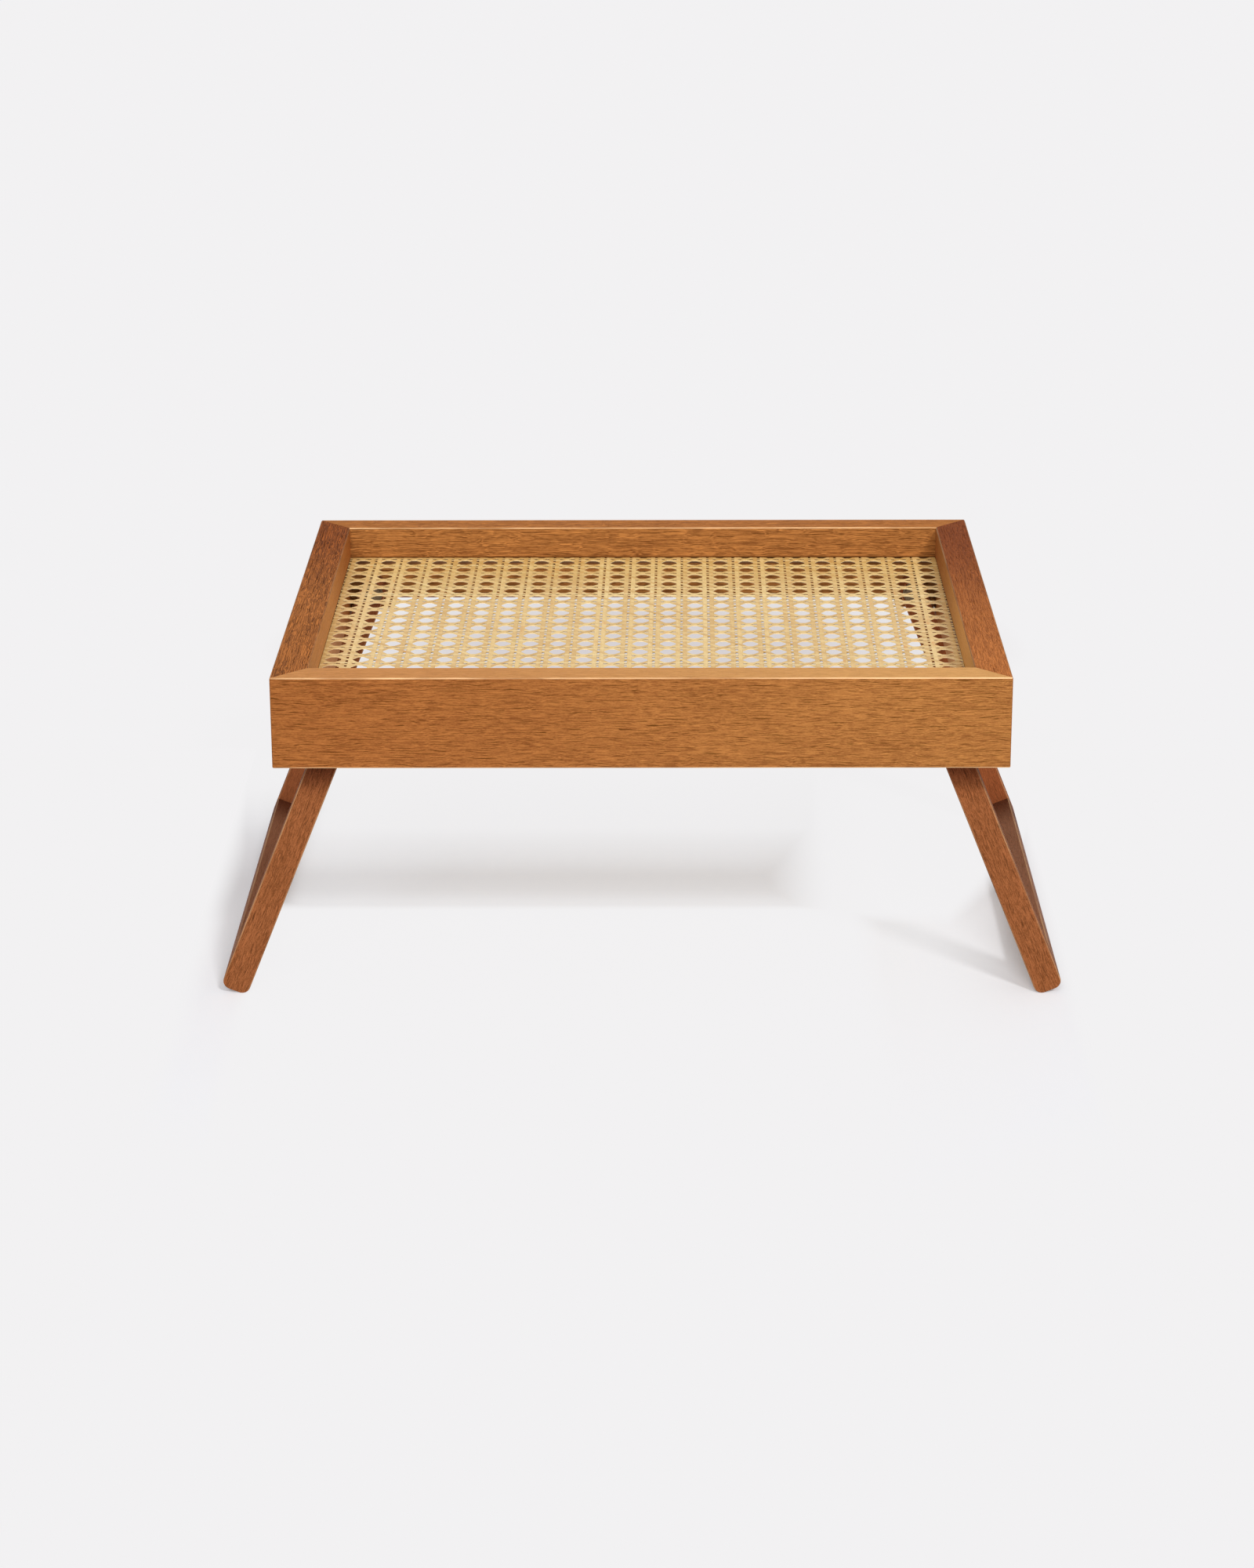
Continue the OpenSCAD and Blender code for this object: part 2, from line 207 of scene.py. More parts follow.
def oak_figure(material, along, light, dark, pore, seed, streak, fleck, long):
    """The figure of the oak: its colour, how much of a place is pore, and its short flecks."""
    # Growth bands, bent by a slow wander along the board
    wander = grain(material, along, (0.16, 0.03, 0.03), 1, (seed, 0, 0))
    bend = add(material, "ShaderNodeMath", {"operation": "MULTIPLY"}, {0: wander, 1: 0.034})
    across = add(material, "ShaderNodeVectorMath", {"operation": "DOT_PRODUCT"}, {
        0: along, 1: ACROSS_BANDS,
    }).outputs["Value"]
    bent = add(material, "ShaderNodeMath", {"operation": "ADD"}, {0: across, 1: bend})
    bands = add(material, "ShaderNodeMath", {"operation": "DIVIDE"}, {0: bent, 1: BAND_PITCH})
    in_band = add(material, "ShaderNodeMath", {"operation": "FRACT"}, {0: bands})
    early = add(material, "ShaderNodeValToRGB", {}, {"Fac": in_band}, [
        (0.0, grey(0.35)),
        (0.12, grey(1.0)),
        (0.5, grey(0.5)),
        (1.0, grey(0.35)),
    ])

    # The grain waves a little to the sides
    ripple = grain(material, along, (0.02, 0.012, 0.012), 1, (0, 0, seed))
    wave = add(material, "ShaderNodeVectorMath", {"operation": "SCALE"}, {
        0: (0.0, 0.004, 0.004), "Scale": ripple,
    })
    wavy = add(material, "ShaderNodeVectorMath", {"operation": "ADD"}, {0: along, 1: wave})

    # Long streaks, fine fibre, short flecks, broad patches and the growth bands, each with its
    # share, and each centred on the middle tone
    streaks = grain(material, wavy, (0.06 * long, 0.0008, 0.0008), 2, (0, 0, seed))
    fibre = grain(material, wavy, (0.006 * long, 0.0005, 0.0005), 1, (seed, seed, 0))
    flecks = grain(material, along, (0.0011 * long, 0.0006, 0.0006), 1, (0, seed, seed))
    patches = grain(material, along, (0.06, 0.02, 0.02), 1, (seed, 0, seed))
    marks = (
        (streaks, 0.45 * streak),
        (fibre, 1.25),
        (flecks, 1.0 * fleck),
        (patches, 0.3),
        (early, -0.12),
    )
    tone = 0.5
    for mark, share in marks:
        raised = add(material, "ShaderNodeMath", {"operation": "MULTIPLY_ADD"}, {
            0: mark, 1: share, 2: tone,
        })
        tone = add(material, "ShaderNodeMath", {"operation": "SUBTRACT"}, {
            0: raised, 1: share / 2,
        })
    body = add(material, "ShaderNodeValToRGB", {}, {"Fac": tone}, [
        (0.2, linear(dark)),
        (0.8, linear(light)),
    ])

    # Pores lie in broken rows, drawn 0.3 mm wide so that they show
    drift = grain(material, along, (0.028 * long, 0.007, 0.007), 2, (0, seed, 0))
    even_rows = add(material, "ShaderNodeMath", {"operation": "DIVIDE"}, {
        0: across, 1: PORE_ROW_PITCH,
    })
    rows = add(material, "ShaderNodeMath", {"operation": "MULTIPLY_ADD"}, {
        0: drift, 1: 5.0, 2: even_rows,
    })
    in_row = add(material, "ShaderNodeMath", {"operation": "FRACT"}, {0: rows})
    pore_line = add(material, "ShaderNodeMath", {"operation": "COMPARE"}, {
        0: in_row, 1: 0.5, 2: 0.15,
    })
    breaks = grain(material, along, (0.0075 * long, 0.001, 0.001), 1, (seed, 0, seed))
    unbroken = add(material, "ShaderNodeValToRGB", {}, {"Fac": breaks}, [
        (0.49, grey(0)),
        (0.58, grey(1)),
    ])
    pore_here = add(material, "ShaderNodeMath", {"operation": "MULTIPLY"}, {
        0: unbroken, 1: pore_line,
    })
    pore_fill = add(material, "ShaderNodeMath", {"operation": "MULTIPLY_ADD"}, {
        0: early, 1: 0.4, 2: 0.55,
    })
    pore_share = add(material, "ShaderNodeMath", {"operation": "MULTIPLY"}, {
        0: pore_here, 1: pore_fill,
    })
    pored = add(material, "ShaderNodeMix", {"data_type": "RGBA"}, {
        0: pore_share, 6: body, 7: linear(pore),
    })

    # Pale lines, a little lighter than the board's light colour
    lines = grain(material, wavy, (0.018 * long, 0.0005, 0.0005), 0.5, (seed, 0, -seed))
    line_share = add(material, "ShaderNodeValToRGB", {}, {"Fac": lines}, [
        (0.56, grey(0)),
        (0.68, grey(min(1, 0.6 * streak))),
    ])
    pale = [1.3 * value for value in linear(light)[:3]] + [1]
    lined = add(material, "ShaderNodeMix", {"data_type": "RGBA"}, {
        0: line_share, 6: pored.outputs[2], 7: pale,
    })
    return lined.outputs[2], pore_share, flecks


def worn_and_lit_arrises(material, place, turn, along, seed, arris_wear_and_highlight):
    """How much the arrises are lightened, by stain thinned with wear and a painted highlight: only on
    arrises, whose normal points between two axes.
    """
    turned = add(material, "ShaderNodeVectorRotate", {"rotation_type": "EULER_XYZ"}, {
        "Vector": place.outputs["Normal"], "Rotation": turn,
    })
    facing = add(material, "ShaderNodeVectorMath", {"operation": "ABSOLUTE"}, {0: turned})
    facing_parts = add(material, "ShaderNodeSeparateXYZ", {}, {"Vector": facing})
    smaller = add(material, "ShaderNodeMath", {"operation": "MINIMUM"}, {
        0: facing_parts.outputs["Y"], 1: facing_parts.outputs["Z"],
    })
    arris = add(material, "ShaderNodeValToRGB", {}, {"Fac": smaller}, [
        (0.45, grey(0)),
        (0.6, grey(1)),
    ])
    patches = grain(material, along, (0.05, 0.01, 0.01), 2, (seed, 0, 0))
    worn_and_lit = add(material, "ShaderNodeValToRGB", {}, {"Fac": patches}, [
        (0.35, grey(0.3 * arris_wear_and_highlight)),
        (0.62, grey(arris_wear_and_highlight)),
    ])
    return add(material, "ShaderNodeMath", {"operation": "MULTIPLY"}, {0: arris, 1: worn_and_lit})


def stained_oak(name, turn, light, dark, pore, seed, top_tint=(1, 1, 1), arris_wear_and_highlight=0.8, streak=1.0,
                fleck=1.0, end_light_and_shade=(1, 1, 1), end_light_and_shade_reach=(-0.03, 0.17), calm=0.0,
                side_tint=(1, 1, 1), top_calm=0.0, groove=False, long=1.0, under_tray_shade=(1, 1, 1)):
    """Oak, planed, sanded, stained and finished matt.

    The eye sees short dark pores and pale lines along the grain, soft growth bands, a fine
    fibre, and lighter arrises, where the stain is thinned by wear and a highlight is painted.

    turn lays the grain along x. light, dark and pore are the colours of the figure, and seed
    is the place in the log that the board comes from.
    top_tint is the painted light and sheen of the faces that look up or down, and
    arris_wear_and_highlight how far arrises are lightened, by wear and a painted highlight.
    streak and fleck are how strong the long and the short marks are, and long is how many
    times the usual length the grain has.
    end_light_and_shade is the painted light and shade at the board's rear end, or at its right
    end if it lies across the tray, and end_light_and_shade_reach is where it starts and where it
    is whole.
    calm and top_calm are how much plainer the upright and the level faces are. On a rail, calm
    is for the faces towards the cane only, and side_tint is their painted light.
    groove says that the board is a rail, with the cane in its groove.
    under_tray_shade is the painted shade of the part just under the tray, near the pivot.
    """
    material = new_material(name)
    place, along = piece_places(material, turn)
    figure, pore_share, flecks = oak_figure(
        material, along, light, dark, pore, seed, streak, fleck, long)
    plain = [0.6 * a + 0.4 * b for a, b in zip(linear(light)[:3], linear(dark)[:3])] + [1]

    # Upright faces can be plainer. Those of a rail towards the webbing are lightened with painted
    # light.
    normal = add(material, "ShaderNodeSeparateXYZ", {}, {"Vector": place.outputs["Normal"]})
    level = add(material, "ShaderNodeMath", {"operation": "ABSOLUTE"}, {0: normal.outputs["Z"]})
    upright = add(material, "ShaderNodeValToRGB", {}, {"Fac": level}, [
        (0.3, grey(calm)),
        (0.6, grey(0)),
    ])
    from_middle = add(material, "ShaderNodeVectorMath", {"operation": "ABSOLUTE"}, {
        0: place.outputs["Object"],
    })
    inner = add(material, "ShaderNodeSeparateXYZ", {}, {"Vector": from_middle})
    near_x = add(material, "ShaderNodeMath", {"operation": "LESS_THAN"}, {
        0: inner.outputs["X"], 1: WELL_REACH_X,
    })
    near_y = add(material, "ShaderNodeMath", {"operation": "LESS_THAN"}, {
        0: inner.outputs["Y"], 1: WELL_REACH_Y,
    })
    in_well = add(material, "ShaderNodeMath", {"operation": "MULTIPLY"}, {0: near_x, 1: near_y})
    towards_cane = add(material, "ShaderNodeMath", {"operation": "MULTIPLY"}, {
        0: in_well, 1: upright,
    })
    calmed = add(material, "ShaderNodeMix", {"data_type": "RGBA"}, {
        0: towards_cane if groove else upright, 6: figure, 7: plain,
    })
    side_lit = add(material, "ShaderNodeMix", {"data_type": "RGBA", "blend_type": "MULTIPLY"}, {
        0: towards_cane, 6: calmed.outputs[2], 7: (*side_tint, 1),
    })

    # The faces that look up or down are another cut of the wood with plainer figure, and get painted
    # light and sheen
    flat = add(material, "ShaderNodeValToRGB", {}, {"Fac": level}, [
        (0.8, grey(0)),
        (0.95, grey(1)),
    ])
    top_share = add(material, "ShaderNodeMath", {"operation": "MULTIPLY"}, {0: flat, 1: top_calm})
    smooth_top = add(material, "ShaderNodeMix", {"data_type": "RGBA"}, {
        0: top_share, 6: side_lit.outputs[2], 7: plain,
    })
    top = add(material, "ShaderNodeMix", {"data_type": "RGBA", "blend_type": "MULTIPLY"}, {
        0: flat, 6: smooth_top.outputs[2], 7: (*top_tint, 1),
    })

    # Painted light and shade towards one end of the board, and painted shade near the pivots, just
    # under the tray
    spot = add(material, "ShaderNodeSeparateXYZ", {}, {"Vector": place.outputs["Object"]})
    to_end = add(material, "ShaderNodeMapRange", {"interpolation_type": "SMOOTHSTEP"}, {
        "Value": spot.outputs["X" if turn == GRAIN_ALONG_X else "Y"],
        "From Min": end_light_and_shade_reach[0],
        "From Max": end_light_and_shade_reach[1],
    })
    end_lit_and_shaded = add(material, "ShaderNodeMix", {"data_type": "RGBA", "blend_type": "MULTIPLY"}, {
        0: to_end, 6: top.outputs[2], 7: (*end_light_and_shade, 1),
    })
    to_under_tray = add(material, "ShaderNodeMapRange", {"interpolation_type": "SMOOTHSTEP"}, {
        "Value": spot.outputs["Z"], "From Min": UNDER_TRAY_SHADE_HEIGHTS[0], "From Max": UNDER_TRAY_SHADE_HEIGHTS[1],
    })
    stained = add(material, "ShaderNodeMix", {"data_type": "RGBA", "blend_type": "MULTIPLY"}, {
        0: to_under_tray, 6: end_lit_and_shaded.outputs[2], 7: (*under_tray_shade, 1),
    })

    # Painted shade lies as a dark line where the cane goes into its groove
    at_line = add(material, "ShaderNodeMath", {"operation": "COMPARE"}, {
        0: inner.outputs["Z"], 1: LINE_HEIGHT, 2: LINE_HALF,
    })
    in_line = add(material, "ShaderNodeMath", {"operation": "MULTIPLY"}, {0: in_well, 1: at_line})
    groove_shade_share = add(material, "ShaderNodeMath", {"operation": "MULTIPLY"}, {
        0: in_line, 1: 0.7 if groove else 0.0,
    })
    groove_shaded = add(material, "ShaderNodeMix", {"data_type": "RGBA"}, {
        0: groove_shade_share, 6: stained.outputs[2], 7: linear(pore),
    })

    # Arrises are lightened: stain thinned by wear, and a painted highlight
    worn_and_lit = worn_and_lit_arrises(material, place, turn, along, seed, arris_wear_and_highlight)
    finished = add(material, "ShaderNodeMix", {"data_type": "RGBA"}, {
        0: worn_and_lit, 6: groove_shaded.outputs[2], 7: linear("#e6b988"),
    })

    roughness = add(material, "ShaderNodeMath", {"operation": "MULTIPLY_ADD"}, {
        0: pore_share, 1: 0.25, 2: 0.55,
    })
    depth = add(material, "ShaderNodeMath", {"operation": "MULTIPLY_ADD"}, {
        0: pore_share, 1: -1.0, 2: flecks,
    })
    bump = add(material, "ShaderNodeBump", {}, {
        "Strength": 0.35, "Distance": 0.0003, "Height": depth,
    })
    shader = add(material, "ShaderNodeBsdfPrincipled", {}, {
        "Base Color": finished.outputs[2],
        "Roughness": roughness,
        "IOR": 1.5,
        "Specular IOR Level": 0.025,
        "Specular Tint": linear("#c08448"),
        "Normal": bump,
    })
    add(material, "ShaderNodeOutputMaterial", {}, {"Surface": shader})
    return material


def shaded_gaps(material, place):
    """1 in the narrow gaps of the pairs, which lie half a pitch from the holes, else 0."""
    gaps = []
    for slope in ((1, SKEW_ACROSS, 0), (-SKEW_ALONG, 1, 0)):
        pitches = [value / (PITCH * MM) for value in slope]
        first_hole = pitches[0] * FIRST_HOLE[0] * MM + pitches[1] * FIRST_HOLE[1] * MM
        travel = add(material, "ShaderNodeVectorMath", {"operation": "DOT_PRODUCT"}, {
            0: place.outputs["Object"], 1: pitches,
        })
        counted = add(material, "ShaderNodeMath", {"operation": "SUBTRACT"}, {
            0: travel.outputs["Value"], 1: first_hole,
        })
        repeat = add(material, "ShaderNodeMath", {"operation": "FRACT"}, {0: counted})
        gaps.append(add(material, "ShaderNodeMath", {"operation": "COMPARE"}, {
            0: repeat, 1: 0.5, 2: (PAIR_GAP / 2 + GAP_MARGIN) / PITCH,
        }))
    return add(material, "ShaderNodeMath", {"operation": "MAXIMUM"}, {0: gaps[0], 1: gaps[1]})


def peeled_cane(name, turn):
    """Rattan cane: the glossy outer peel of rattan, split into flat strands.

    The eye sees fine fibre along each strand, a tint that changes from strand to strand, a few
    orange and green patches, and a satin shine. turn lays the strand along x.
    """
    material = new_material(name)
    place, along = piece_places(material, turn)
    tint = add(material, "ShaderNodeAttribute", {"attribute_name": "tint"})
    across = add(material, "ShaderNodeAttribute", {"attribute_name": "across"})

    # Fibre 20 mm long, drawn 0.5 mm wide so that it shows
    fibre = grain(material, along, (0.02, 0.0005, 0.0005), 2)
    mottle = grain(material, along, (0.03, 0.004, 0.004), 1)
    tone = add(material, "ShaderNodeMath", {"operation": "MULTIPLY_ADD"}, {
        0: fibre, 1: 0.4, 2: tint.outputs["Fac"],
    })
    mottled = add(material, "ShaderNodeMath", {"operation": "MULTIPLY_ADD"}, {
        0: mottle, 1: 0.5, 2: tone,
    })
    base = add(material, "ShaderNodeValToRGB", {}, {"Fac": mottled}, [
        (0.3, linear("#cfa55f")),
        (0.65, linear("#e5c37f")),
        (1.0, linear("#f6dda1")),
    ])

    # Patches come from a part of the noise that the fibre doesn't use: the highest places turn
    # orange, and the lowest green
    patches = grain(material, along, (0.016, 0.005, 0.005), 1, (3, 1, 2))
    orange_share = add(material, "ShaderNodeValToRGB", {}, {"Fac": patches}, [
        (0.66, grey(0)),
        (0.76, grey(0.7)),
    ])
    orange = add(material, "ShaderNodeMix", {"data_type": "RGBA"}, {
        0: orange_share, 6: base, 7: linear("#d99a4c"),
    })
    green_share = add(material, "ShaderNodeValToRGB", {}, {"Fac": patches}, [
        (0.22, grey(0.6)),
        (0.34, grey(0)),
    ])
    green = add(material, "ShaderNodeMix", {"data_type": "RGBA"}, {
        0: green_share, 6: orange.outputs[2], 7: linear("#cdb463"),
    })

    # Painted shade between the strands: the peel is darker towards its edges
    edge_share = add(material, "ShaderNodeValToRGB", {}, {"Fac": across.outputs["Fac"]}, [
        (0.7, grey(0)),
        (1.0, grey(0.55)),
    ])
    edge_shaded = add(material, "ShaderNodeMix", {"data_type": "RGBA"}, {
        0: edge_share, 6: green.outputs[2], 7: linear("#b88f4e"),
    })

    # The cut sides show the paler wood under the peel, and in narrow gaps they get painted shade
    side_colour = add(material, "ShaderNodeMix", {"data_type": "RGBA"}, {
        0: shaded_gaps(material, place), 6: linear("#f0d8a4"), 7: linear("#6c4d29"),
    })
    normal = add(material, "ShaderNodeSeparateXYZ", {}, {"Vector": place.outputs["Normal"]})
    side_share = add(material, "ShaderNodeValToRGB", {}, {"Fac": normal.outputs["Z"]}, [
        (0.3, grey(1)),
        (0.7, grey(0)),
    ])
    sided = add(material, "ShaderNodeMix", {"data_type": "RGBA"}, {
        0: side_share, 6: edge_shaded.outputs[2], 7: side_colour.outputs[2],
    })

    bump = add(material, "ShaderNodeBump", {}, {
        "Strength": 0.3, "Distance": 0.0001, "Height": fibre,
    })
    shader = add(material, "ShaderNodeBsdfPrincipled", {}, {
        "Base Color": sided.outputs[2],
        "Roughness": 0.42,
        "IOR": 1.5,
        "Normal": bump,
    })
    add(material, "ShaderNodeOutputMaterial", {}, {"Surface": shader})
    return material


def bare_wood(name, turn, light, dark, fibre_size, roughness):
    """Unstained wood under cover: reed core, or beech that is sawn and turned to size.

    The eye sees a fine fibre along the grain, and no shine. turn lays the grain along x.
    """
    material = new_material(name)
    place, along = piece_places(material, turn)
    fibre = grain(material, along, fibre_size, 3)
    colour = add(material, "ShaderNodeValToRGB", {}, {"Fac": fibre}, [
        (0.35, linear(dark)),
        (0.7, linear(light)),
    ])
    bump = add(material, "ShaderNodeBump", {}, {
        "Strength": 0.3, "Distance": 0.0002, "Height": fibre,
    })
    shader = add(material, "ShaderNodeBsdfPrincipled", {}, {
        "Base Color": colour,
        "Roughness": roughness,
        "Normal": bump,
    })
    add(material, "ShaderNodeOutputMaterial", {}, {"Surface": shader})
    return material


def turned_metal(name, light, dark, roughness):
    """Turned and plated metal: fine tool rings round the pivot's axis, and a dull shine."""
    material = new_material(name)
    place = add(material, "ShaderNodeTexCoord")
    rings = grain(material, place.outputs["Object"], (0.0006, 0.02, 0.0006), 2)
    colour = add(material, "ShaderNodeValToRGB", {}, {"Fac": rings}, [
        (0.3, linear(dark)),
        (0.7, linear(light)),
    ])
    rough = add(material, "ShaderNodeMath", {"operation": "MULTIPLY_ADD"}, {
        0: rings, 1: 0.2, 2: roughness,
    })
    bump = add(material, "ShaderNodeBump", {}, {
        "Strength": 0.25, "Distance": 0.0001, "Height": rings,
    })
    shader = add(material, "ShaderNodeBsdfPrincipled", {}, {
        "Base Color": colour,
        "Metallic": 1.0,
        "Roughness": rough,
        "Normal": bump,
    })
    add(material, "ShaderNodeOutputMaterial", {}, {"Surface": shader})
    return material


GRAIN_ALONG_X = (0, 0, 0)
GRAIN_ALONG_Y = (0, 0, math.radians(90))
GRAIN_ALONG_LEFT_LEG = (0, math.radians(90) - LEG_SPLAY, 0)
GRAIN_ALONG_RIGHT_LEG = (0, math.radians(90) + LEG_SPLAY, 0)
GRAIN_ALONG_LEFT_FOOT = (0, -LEG_SPLAY, math.radians(90))
GRAIN_ALONG_RIGHT_FOOT = (0, LEG_SPLAY, math.radians(90))

# The rails' tops get painted light and sheen, and their ends painted light and shade
front_oak = stained_oak(
    "stained_oak_front", GRAIN_ALONG_X, "#9f6333", "#774320", "#57300f", 3.1,
    top_tint=(2.0, 2.55, 3.2), arris_wear_and_highlight=1.0, streak=0.6, fleck=0.6, end_light_and_shade=(1.18, 1.37, 1.42),
    end_light_and_shade_reach=(-0.22, 0.25), top_calm=0.55, groove=True, long=1.5)
rear_oak = stained_oak(
    "stained_oak_rear", GRAIN_ALONG_X, "#a86f3b", "#734522", "#532f12", 7.7,
    top_tint=(1.33, 1.22, 1.06), streak=1.25, fleck=0.6, groove=True, long=2.5)
left_oak = stained_oak(
    "stained_oak_left", GRAIN_ALONG_Y, "#ac6e3b", "#673c1d", "#482812", 11.3,
    top_tint=(1.05, 0.95, 0.8), arris_wear_and_highlight=0.15, streak=2.0, fleck=0.6, end_light_and_shade=(0.66, 0.52, 0.42),
    calm=0.8, side_tint=(2.1, 2.5, 2.8), groove=True, long=3.5)
right_oak = stained_oak(
    "stained_oak_right", GRAIN_ALONG_Y, "#a66a3a", "#7a4825", "#693d20", 17.9,
    top_tint=(1.36, 1.22, 1.06), arris_wear_and_highlight=0.3, streak=1.1, fleck=0.8, end_light_and_shade=(0.47, 0.35, 0.33),
    end_light_and_shade_reach=(-0.16, 0.17), calm=0.8, side_tint=(2.8, 3.9, 4.0), groove=True, long=2.0)
# The legs are painted darker just under the tray, as painted shade
left_front_oak = stained_oak(
    "stained_oak_left_legs", GRAIN_ALONG_LEFT_LEG, "#905734", "#6b3d20", "#57321b", 23.5,
    arris_wear_and_highlight=0.3, streak=0.7, under_tray_shade=(0.6, 0.52, 0.6))
right_front_oak = stained_oak(
    "stained_oak_right_legs", GRAIN_ALONG_RIGHT_LEG, "#905734", "#6b3d20", "#57321b", 29.3,
    arris_wear_and_highlight=0.3, streak=0.7, under_tray_shade=(0.6, 0.52, 0.6))
left_rear_oak = stained_oak(
    "stained_oak_left_rear", GRAIN_ALONG_LEFT_LEG, "#935534", "#693a21", "#482612", 41.9,
    arris_wear_and_highlight=0.3, calm=0.5)
right_rear_oak = stained_oak(
    "stained_oak_right_rear", GRAIN_ALONG_RIGHT_LEG, "#955230", "#6a3a20", "#482612", 43.1,
    arris_wear_and_highlight=0.3, calm=0.5)
# The foot rails are painted darker at their rear ends, as painted shade under the rear legs
left_foot_oak = stained_oak(
    "stained_oak_left_foot", GRAIN_ALONG_LEFT_FOOT, "#916045", "#6f4631", "#4a2814", 31.7,
    arris_wear_and_highlight=0.3, fleck=0.5, end_light_and_shade=(0.4, 0.28, 0.25), end_light_and_shade_reach=(0.1, 0.16), calm=0.8, top_calm=0.7)
right_foot_oak = stained_oak(
    "stained_oak_right_foot", GRAIN_ALONG_RIGHT_FOOT, "#92634a", "#6f4a35", "#4a2814", 37.9,
    arris_wear_and_highlight=0.3, fleck=0.5, end_light_and_shade=(0.43, 0.31, 0.27), end_light_and_shade_reach=(0.1, 0.16), calm=0.8, top_calm=0.7)
reed = bare_wood(
    "rattan_reed_stained", GRAIN_ALONG_X, "#94602f", "#6d4220", (0.02, 0.0006, 0.0006), 0.6)
beech = bare_wood(
    "beech_sawn", GRAIN_ALONG_Y, "#e0bd90", "#c79c6b", (0.01, 0.0007, 0.0007), 0.62)
plated_steel = turned_metal("zinc_plated_steel_turned", "#9a8468", "#625240", 0.5)
brass = turned_metal("brass_turned", "#dcc07a", "#ab8a45", 0.3)

FINISHES = {
    "front_rail": front_oak,
    "rear_rail": rear_oak,
    "left_rail": left_oak,
    "right_rail": right_oak,
    "left_front_leg": left_front_oak,
    "left_rear_leg": left_rear_oak,
    "right_front_leg": right_front_oak,
    "right_rear_leg": right_rear_oak,
    "left_foot_rail": left_foot_oak,
    "right_foot_rail": right_foot_oak,
}
for name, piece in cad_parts.items():
    if name.endswith("spline"):
        finish = reed
    elif name.endswith("tongue") or name.endswith("dowels"):
        finish = beech
    elif name.endswith("insert"):
        finish = brass
    elif name.endswith("bolt") or name.endswith("washer"):
        finish = plated_steel
    elif name in FINISHES:
        finish = FINISHES[name]
    else:
        continue
    for slot in piece.material_slots:
        slot.material = finish

cane_low, cane_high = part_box("cane_webbing")
weave_middle = cane_high.z - WEAVE_DEPTH * MM
weave_half = Vector((
    (cane_high.x - cane_low.x) / 2 - WEBBING_TUCK * MM + STRAND_TUCK * MM,
    (cane_high.y - cane_low.y) / 2 - WEBBING_TUCK * MM + STRAND_TUCK * MM,
))


def pair_wave(distance, over):
    """Rise of a paired strand: over one strand of the pair that it crosses, under the other.

    The distance is counted from the middle of that pair.
    """
    to_strand = (PAIR_GAP + CROSSWISE_WIDTH) / 2
    from_middle = (distance / PITCH + 0.5) % 1 - 0.5
    s = from_middle * PITCH / to_strand
    return over * PAIR_RISE * s * math.exp((1 - s ** 4) / 4)


def diagonal_wave(x, over):
    """Rise of a diagonal strand: over the pairs one way and under the pairs the other way."""
    swing = math.cos(2 * math.pi * (x / PITCH - 0.5))
    steep = math.tanh(DIAGONAL_STEEPNESS)
    return over * DIAGONAL_RISE * math.tanh(DIAGONAL_STEEPNESS * swing) / steep


def diagonal_sway(x):
    return DIAGONAL_SWAY * math.sin(4 * math.pi * (x / PITCH - 0.5))


# Each path gives how far a strand swings to its left and how high it lies, in millimetres
def lengthwise_path(centre, over):
    return 0, pair_wave(centre.y - PITCH / 2, over)


def crosswise_path(centre, over):
    return 0, pair_wave(centre.x - PITCH / 2, over)


def rising_path(centre, over):
    return -diagonal_sway(centre.x), diagonal_wave(centre.x, over)


def falling_path(centre, over):
    return diagonal_sway(centre.x), diagonal_wave(centre.x, over)


